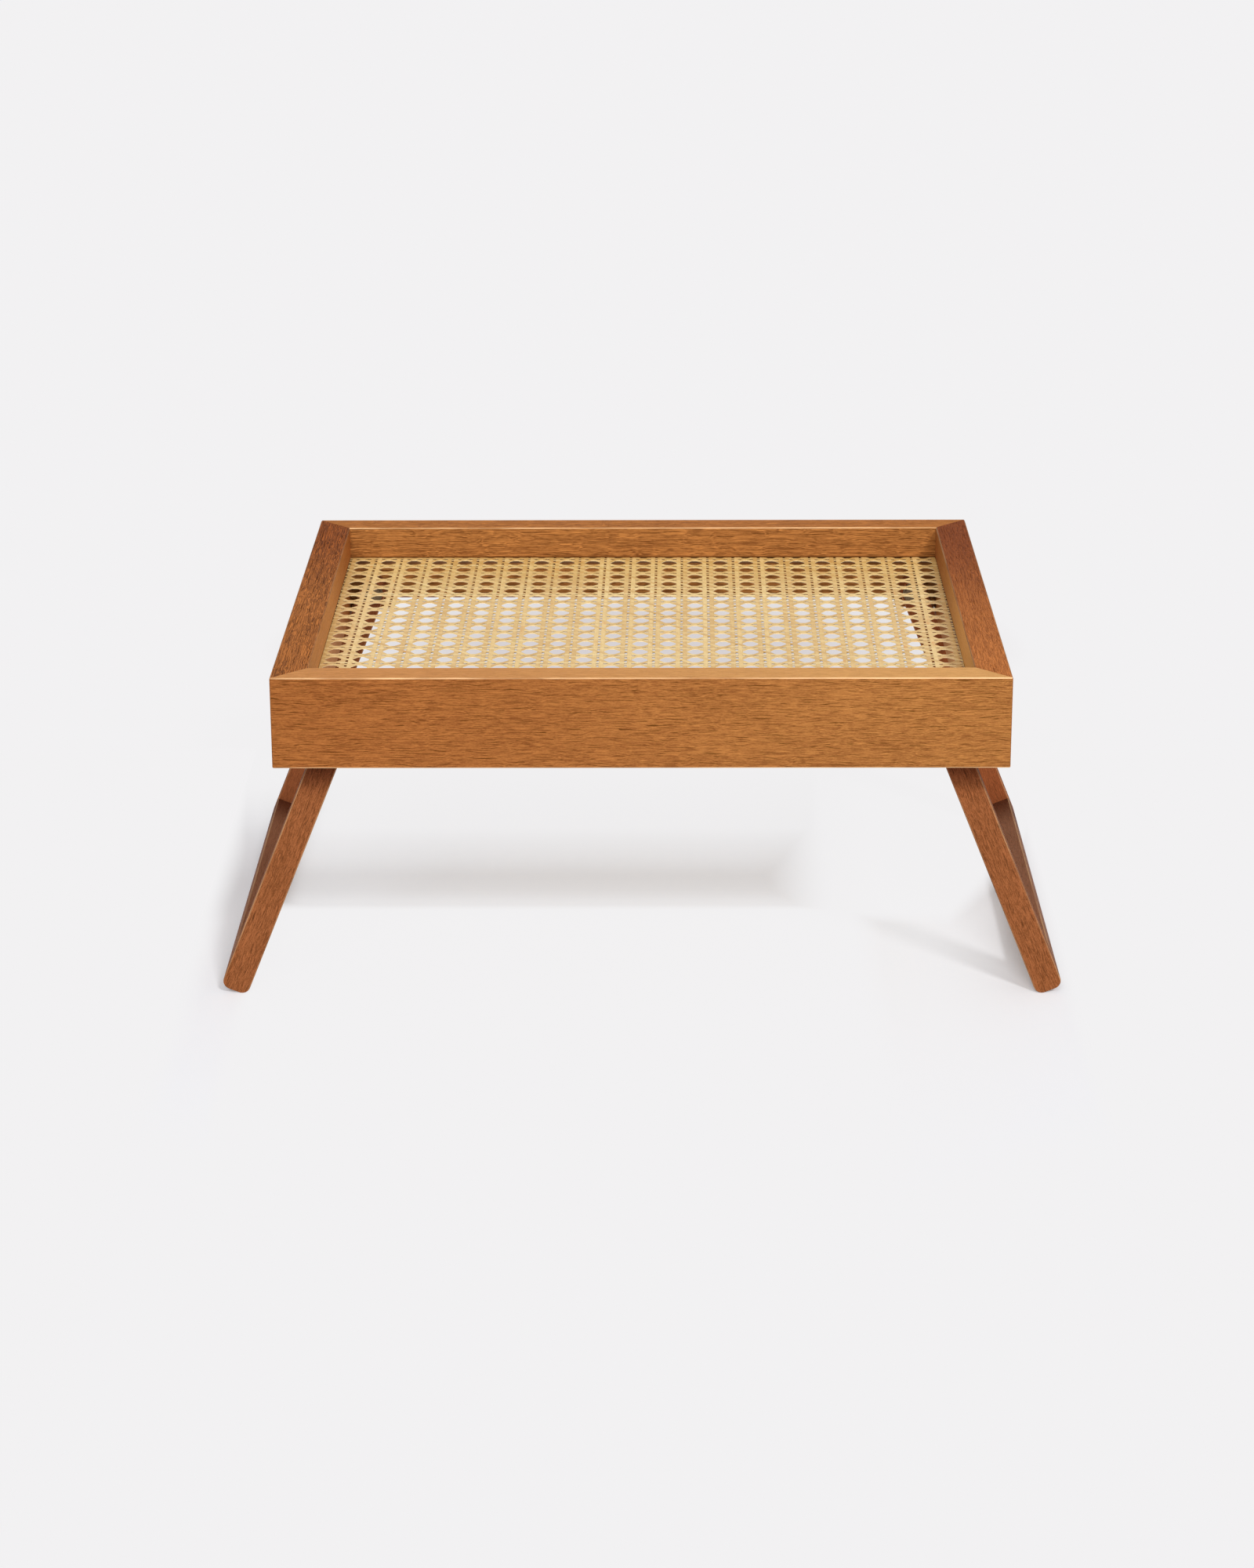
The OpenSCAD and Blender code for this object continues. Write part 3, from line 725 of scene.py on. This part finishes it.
def weave(name, direction, offsets, width, path, steps_per_pitch, material, brighter=0.0):
    """One set of parallel strands of cane, drawn on the tray.

    direction is the way that they run. offsets are (distance to the left of the first hole,
    1 or -1 for the wave's sign), and brighter is how much the whole set's tint is raised.
    """
    bm = bmesh.new()
    tint = bm.verts.layers.float.new("tint")
    across = bm.verts.layers.float.new("across")
    along = Vector((math.cos(direction), math.sin(direction)))
    side = Vector((-along.y, along.x))
    if abs(along.x) > 0.9:
        reach = HOLE_COLUMNS * PITCH
    elif abs(along.y) > 0.9:
        reach = HOLE_ROWS * PITCH
    else:
        reach = HOLE_COLUMNS * PITCH * DIAGONAL_REACH
    middle = Vector((
        (HOLE_COLUMNS - 1) / 2 * PITCH,
        -(HOLE_ROWS - 1) / 2 * PITCH,
    ))
    steps = int(reach / PITCH * steps_per_pitch)
    for offset, over in offsets:
        start = side * offset + along * (along.dot(middle))
        made = bmesh.ops.create_grid(bm, x_segments=steps, y_segments=4, size=0.5)["verts"]
        strand_tint = random.uniform(-0.15, 0.22) + brighter
        shift = random.uniform(-STRAND_WANDER, STRAND_WANDER)
        phase = random.uniform(0, 2 * math.pi)
        for v in made:
            s = v.co.x * (reach + PITCH)
            t = v.co.y * 2
            centre = start + along * s
            drift = shift + STRAND_WANDER / 2 * math.sin(s / WANDER_LENGTH + phase)
            swing, rise = path(centre, over)
            place = centre + side * (t * width / 2 + drift + swing)
            v[tint] = strand_tint
            v[across] = abs(t)
            skewed = (
                FIRST_HOLE[0] + place.x + SKEW_ACROSS * -place.y,
                FIRST_HOLE[1] + place.y + SKEW_ALONG * place.x,
                rise - STRAND_CROWN * t * t,
            )
            v.co = Vector(skewed) * MM
    # The strands end inside the grooves of the rails
    for normal, limit in (((1, 0, 0), weave_half.x), ((-1, 0, 0), weave_half.x),
                          ((0, 1, 0), weave_half.y), ((0, -1, 0), weave_half.y)):
        everything = bm.verts[:] + bm.edges[:] + bm.faces[:]
        bmesh.ops.bisect_plane(bm, geom=everything, dist=1e-7, plane_co=Vector(normal) * limit,
                               plane_no=normal, clear_outer=True)
    bmesh.ops.solidify(bm, geom=bm.faces[:], thickness=STRAND_THICKNESS * MM)
    bmesh.ops.recalc_face_normals(bm, faces=bm.faces[:])
    bmesh.ops.translate(bm, verts=bm.verts[:], vec=(0, 0, weave_middle + STRAND_THICKNESS / 2 * MM))
    mesh = bpy.data.meshes.new(name)
    bm.to_mesh(mesh)
    bm.free()
    mesh.shade_smooth()
    mesh.set_sharp_from_angle(angle=math.radians(50))
    piece = bpy.data.objects.new(name, mesh)
    scene.collection.objects.link(piece)
    mesh.materials.append(material)
    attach(piece, "tray")
    return piece


lengthwise_half = (PAIR_GAP + LENGTHWISE_WIDTH) / 2
crosswise_half = (PAIR_GAP + CROSSWISE_WIDTH) / 2
columns = [(k - 0.5) * PITCH for k in range(HOLE_COLUMNS + 1)]
rows = [(k - HOLE_ROWS + 0.5) * PITCH for k in range(HOLE_ROWS + 2)]

cane_up = peeled_cane("rattan_cane_lengthwise", GRAIN_ALONG_Y)
cane_over = peeled_cane("rattan_cane_crosswise", GRAIN_ALONG_X)
cane_rising = peeled_cane("rattan_cane_rising", (0, 0, math.radians(-45)))
cane_falling = peeled_cane("rattan_cane_falling", (0, 0, math.radians(45)))

# Lengthwise strands run to the rear, so the side to their left is -x
lengthwise = [(-x - lengthwise_half, 1) for x in columns]
lengthwise_second = [(-x + lengthwise_half, -1) for x in columns]
crosswise = [(y - crosswise_half, 1) for y in rows]
crosswise_second = [(y + crosswise_half, -1) for y in rows]
first = weave("cane_lengthwise_strands", math.pi / 2, lengthwise, LENGTHWISE_WIDTH,
              lengthwise_path, PAIR_STEPS, cane_up)
weave("cane_lengthwise_mates", math.pi / 2, lengthwise_second, LENGTHWISE_WIDTH,
      lengthwise_path, PAIR_STEPS, cane_up)
weave("cane_crosswise_strands", 0, crosswise, CROSSWISE_WIDTH,
      crosswise_path, PAIR_STEPS, cane_over, 0.2)
weave("cane_crosswise_mates", 0, crosswise_second, CROSSWISE_WIDTH,
      crosswise_path, PAIR_STEPS, cane_over, 0.2)
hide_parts("cane_webbing")

# Diagonals cross each row of holes half-way between two holes
rising_counts = range(-HOLE_COLUMNS - HOLE_ROWS, 3)
falling_counts = range(-HOLE_ROWS - 2, HOLE_COLUMNS + 2)
rising = [((k + 0.5) * PITCH / math.sqrt(2), -1) for k in rising_counts]
falling = [((k + 0.5) * PITCH / math.sqrt(2), 1) for k in falling_counts]
weave("cane_rising_diagonals", math.pi / 4, rising, DIAGONAL_WIDTH,
      rising_path, DIAGONAL_STEPS, cane_rising)
weave("cane_falling_diagonals", -math.pi / 4, falling, DIAGONAL_WIDTH,
      falling_path, DIAGONAL_STEPS, cane_falling)

# Floor: matt white studio floor. It is drawn part-way to its own pale colour, a painted light
# that keeps the shadow on it as light as in the studio. The share is smallest at the feet, and
# it is nearly whole away from the tray, where this painted light washes the shadow out.
floor_paint = new_material("studio_floor")
floor_place = add(floor_paint, "ShaderNodeTexCoord").outputs["Object"]
spot = add(floor_paint, "ShaderNodeSeparateXYZ", {}, {"Vector": floor_place})
to_side = add(floor_paint, "ShaderNodeMath", {"operation": "ABSOLUTE"}, {0: spot.outputs["X"]})
distance = add(floor_paint, "ShaderNodeVectorMath", {"operation": "LENGTH"}, {0: floor_place})
past_start = add(floor_paint, "ShaderNodeMath", {"operation": "SUBTRACT"}, {
    0: spot.outputs["X"], 1: SLANT_START,
})
on_slant = add(floor_paint, "ShaderNodeMath", {"operation": "MAXIMUM"}, {0: past_start, 1: 0.0})
slant_depth = add(floor_paint, "ShaderNodeMath", {"operation": "MULTIPLY"}, {
    0: on_slant, 1: SLANT,
})
behind_slant = add(floor_paint, "ShaderNodeMath", {"operation": "SUBTRACT"}, {
    0: spot.outputs["Y"], 1: slant_depth,
})
measures = {
    "x": spot.outputs["X"],
    "y": spot.outputs["Y"],
    "to the side": to_side,
    "behind the slant": behind_slant,
    "distance": distance.outputs["Value"],
}

# Share under the tray, from its middle to the rear
depth = add(floor_paint, "ShaderNodeMapRange", {}, {
    "Value": spot.outputs["Y"], "From Min": 0.0, "From Max": SHADOW_DEPTH,
})
under_tray = add(floor_paint, "ShaderNodeValToRGB", {}, {"Fac": depth}, [
    (0.0, grey(0.72)),
    (0.02, grey(0.52)),
    (0.045, grey(0.47)),
    (0.075, grey(0.66)),
    (0.13, grey(0.92)),
    (0.26, grey(0.97)),
])

# Soft steps: what is measured, where the step starts and ends, and the shares there
STEPS = {
    "less at the left frame": ("x", -0.25, -0.29, 1.0, 0.2),
    "less at the right frame": ("x", 0.2, 0.275, 1.0, 0.3),
    "to the rear": ("y", 0.03, 0.28, 0.0, 1.0),
    "right of the left foot": ("x", -0.29, -0.272, 0.0, 1.0),
    "left of the right foot": ("x", 0.22, 0.15, 0.0, 1.0),
    "before the shadow": ("y", 0.022, -0.022, 0.0, 0.97),
    "right of the shadow": ("x", 0.045, 0.145, 0.0, 0.97),
    "behind the slant": ("behind the slant", -0.1, -0.02, 0.0, 1.0),
    "past the left foot": ("x", -0.299, -0.326, 0.0, 1.0),
    "past the right foot": ("x", 0.285, 0.305, 0.0, 1.0),
    "not far behind": ("y", 0.5, 0.35, 0.0, 1.0),
    "beside the tray": ("to the side", 0.25, 0.3, 0.0, 0.97),
    "behind the tray": ("y", 0.2, 0.35, 0.0, 1.0),
    "far away": ("distance", 0.42, 0.55, 0.0, 0.97),
}
shares = {"under the tray": under_tray}
for step_name, (measure, start, stop, first_share, last_share) in STEPS.items():
    shares[step_name] = add(floor_paint, "ShaderNodeMapRange", {"interpolation_type": "SMOOTHSTEP"}, {
        "Value": measures[measure],
        "From Min": start,
        "From Max": stop,
        "To Min": first_share,
        "To Max": last_share,
    })

# The shares of a row are multiplied, and the row with the largest product counts
ROWS = (
    ("under the tray", "less at the left frame", "less at the right frame"),
    ("under the tray", "to the rear"),
    ("right of the left foot", "left of the right foot", "before the shadow"),
    ("right of the shadow", "behind the slant"),
    ("past the left foot", "not far behind"),
    ("past the right foot", "not far behind"),
    ("beside the tray", "behind the tray"),
    ("far away",),
)
largest = 0.0
for row in ROWS:
    product = 1.0
    for share_name in row:
        product = add(floor_paint, "ShaderNodeMath", {"operation": "MULTIPLY"}, {
            0: product, 1: shares[share_name],
        })
    largest = add(floor_paint, "ShaderNodeMath", {"operation": "MAXIMUM"}, {
        0: largest, 1: product,
    })
share = add(floor_paint, "ShaderNodeMath", {"operation": "MULTIPLY"}, {
    0: seen_rays(floor_paint), 1: largest,
})

# Behind the tray, where it shows through the cane, a painted shadow makes the floor a little greyer
painted_shadow_place = add(floor_paint, "ShaderNodeVectorMath", {"operation": "MULTIPLY_ADD"}, {
    0: floor_place,
    1: (1 / PAINTED_SHADOW_HALF_WIDTH, 1 / PAINTED_SHADOW_HALF_DEPTH, 0),
    2: (0, -PAINTED_SHADOW_MIDDLE / PAINTED_SHADOW_HALF_DEPTH, 0),
})
painted_shadow_reach = add(floor_paint, "ShaderNodeVectorMath", {"operation": "LENGTH"}, {0: painted_shadow_place})
floor_colour_and_painted_shadow = add(floor_paint, "ShaderNodeValToRGB", {}, {"Fac": painted_shadow_reach.outputs["Value"]}, [
    (0.4, linear("#d7d1d2")),
    (1.1, linear("#f2f1f2")),
])

# The lamps' part of the floor is a little cooler than its own colour
cooled = add(floor_paint, "ShaderNodeMix", {"data_type": "RGBA", "blend_type": "MULTIPLY"}, {
    0: 1.0, 6: floor_colour_and_painted_shadow, 7: (0.97, 0.985, 1.01, 1),
})
matt = add(floor_paint, "ShaderNodeBsdfDiffuse", {}, {"Color": cooled.outputs[2]})
pale = add(floor_paint, "ShaderNodeEmission", {}, {"Color": floor_colour_and_painted_shadow, "Strength": 1.0})
both = add(floor_paint, "ShaderNodeMixShader", {}, {0: share, 1: matt, 2: pale})
add(floor_paint, "ShaderNodeOutputMaterial", {}, {"Surface": both})

# The floor lies just below the feet, so that the two surfaces don't flicker
ground = bmesh.new()
bmesh.ops.create_grid(ground, x_segments=1, y_segments=1, size=FLOOR_HALF)
bmesh.ops.translate(ground, verts=ground.verts[:], vec=(0, 0, -0.2 * MM))
ground_mesh = bpy.data.meshes.new("floor")
ground.to_mesh(ground_mesh)
ground.free()
floor = bpy.data.objects.new("floor", ground_mesh)
ground_mesh.materials.append(floor_paint)
scene.collection.objects.link(floor)

# Light: a key at the front right, a low soft lamp in front, a weak fill at the front left, and
# an even pale sky. Each row is name, energy, height, place to the right and width in degrees.
LAMPS = (
    ("key", 1.4, 40, 26, 8),
    ("low_front", 1.25, 27, 2, 20),
    ("left_fill", 0.6, 38, -16, 16),
)
for lamp_name, energy, elevation, azimuth, width in LAMPS:
    lamp = bpy.data.lights.new(lamp_name, "SUN")
    lamp.energy = energy
    lamp.angle = math.radians(width)
    stand = bpy.data.objects.new(lamp_name, lamp)
    stand.rotation_euler = (math.radians(90 - elevation), 0, math.radians(azimuth))
    scene.collection.objects.link(stand)

# The sky is seen at full strength, and it lights the tray at half of that
world = bpy.data.worlds.new("studio")
world.use_nodes = True
world.node_tree.nodes.clear()
sky_strength = add(world, "ShaderNodeMath", {"operation": "MULTIPLY_ADD"}, {
    0: seen_rays(world), 1: 0.5, 2: 0.5,
})
sky = add(world, "ShaderNodeBackground", {}, {
    "Color": linear("#f2f2f2"), "Strength": sky_strength,
})
add(world, "ShaderNodeOutputWorld", {}, {"Surface": sky})
scene.world = world
scene.view_settings.view_transform = "Standard"

camera_data = bpy.data.cameras.new("camera")
camera_data.lens = LENS
camera_data.sensor_width = SENSOR
camera = bpy.data.objects.new("camera", camera_data)
camera_turn = (
    Matrix.Rotation(-CAMERA_YAW, 3, "Z")
    @ Matrix.Rotation(math.radians(90) - CAMERA_PITCH, 3, "X")
    @ Matrix.Rotation(CAMERA_ROLL, 3, "Z")
)
camera.location = CAMERA_PLACE
camera.rotation_euler = camera_turn.to_euler()
scene.collection.objects.link(camera)
scene.camera = camera
